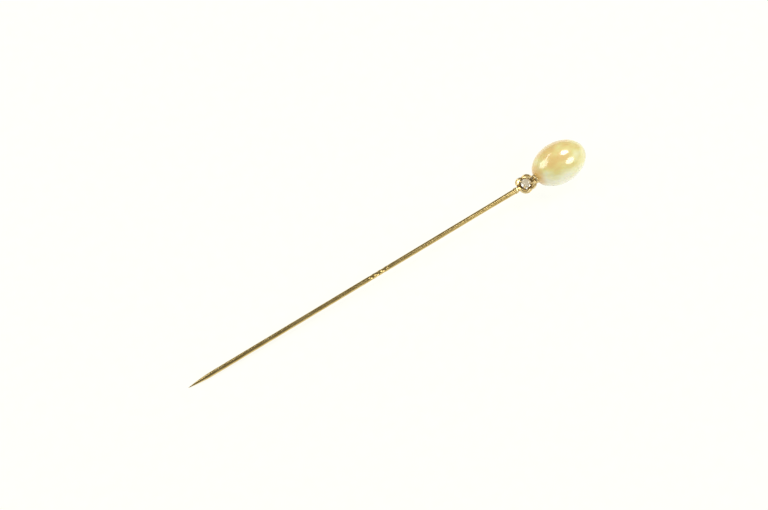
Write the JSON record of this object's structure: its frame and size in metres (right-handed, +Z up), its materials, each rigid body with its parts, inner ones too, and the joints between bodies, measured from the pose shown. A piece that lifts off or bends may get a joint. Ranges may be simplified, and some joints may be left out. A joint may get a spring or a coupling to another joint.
{
  "type": "stick pin",
  "caption": "Straight gold wire stick pin with a ground point and twisted grip, a petal claw setting holding a round brilliant, and an oval pearl on the end.",
  "frame": {"origin": "on the table under the middle of the pin's bounding box, as it lies on its point and its pearl", "axes": "+X along the pin towards the pearl, +Z up, the way the stone faces"},
  "size_m": [0.07, 0.0062, 0.0063],
  "materials": {
    "gold_wire": "drawn and polished yellow gold, with faint lengthwise draw lines",
    "gold_setting": "bright polished yellow gold",
    "brilliant": "faceted and clear, a faint warm pink-grey",
    "nacre": "satin pearl lustre, cream to gold with green and rose overtones",
    "cement": "matt"
  },
  "bodies": {
    "root": {"pin_stem": "gold_wire", "stem_collar": "gold_setting", "base_ring": "gold_setting", "gallery_ring": "gold_setting", "petal_1": "gold_setting", "petal_2": "gold_setting", "petal_3": "gold_setting", "petal_4": "gold_setting", "claw_1": "gold_setting", "claw_2": "gold_setting", "claw_3": "gold_setting", "claw_4": "gold_setting", "diamond": "brilliant", "pearl_cup": "gold_setting", "pearl_peg": "gold_wire", "pearl_cement": "cement", "pearl": "nacre"}
  },
  "joints": []
}
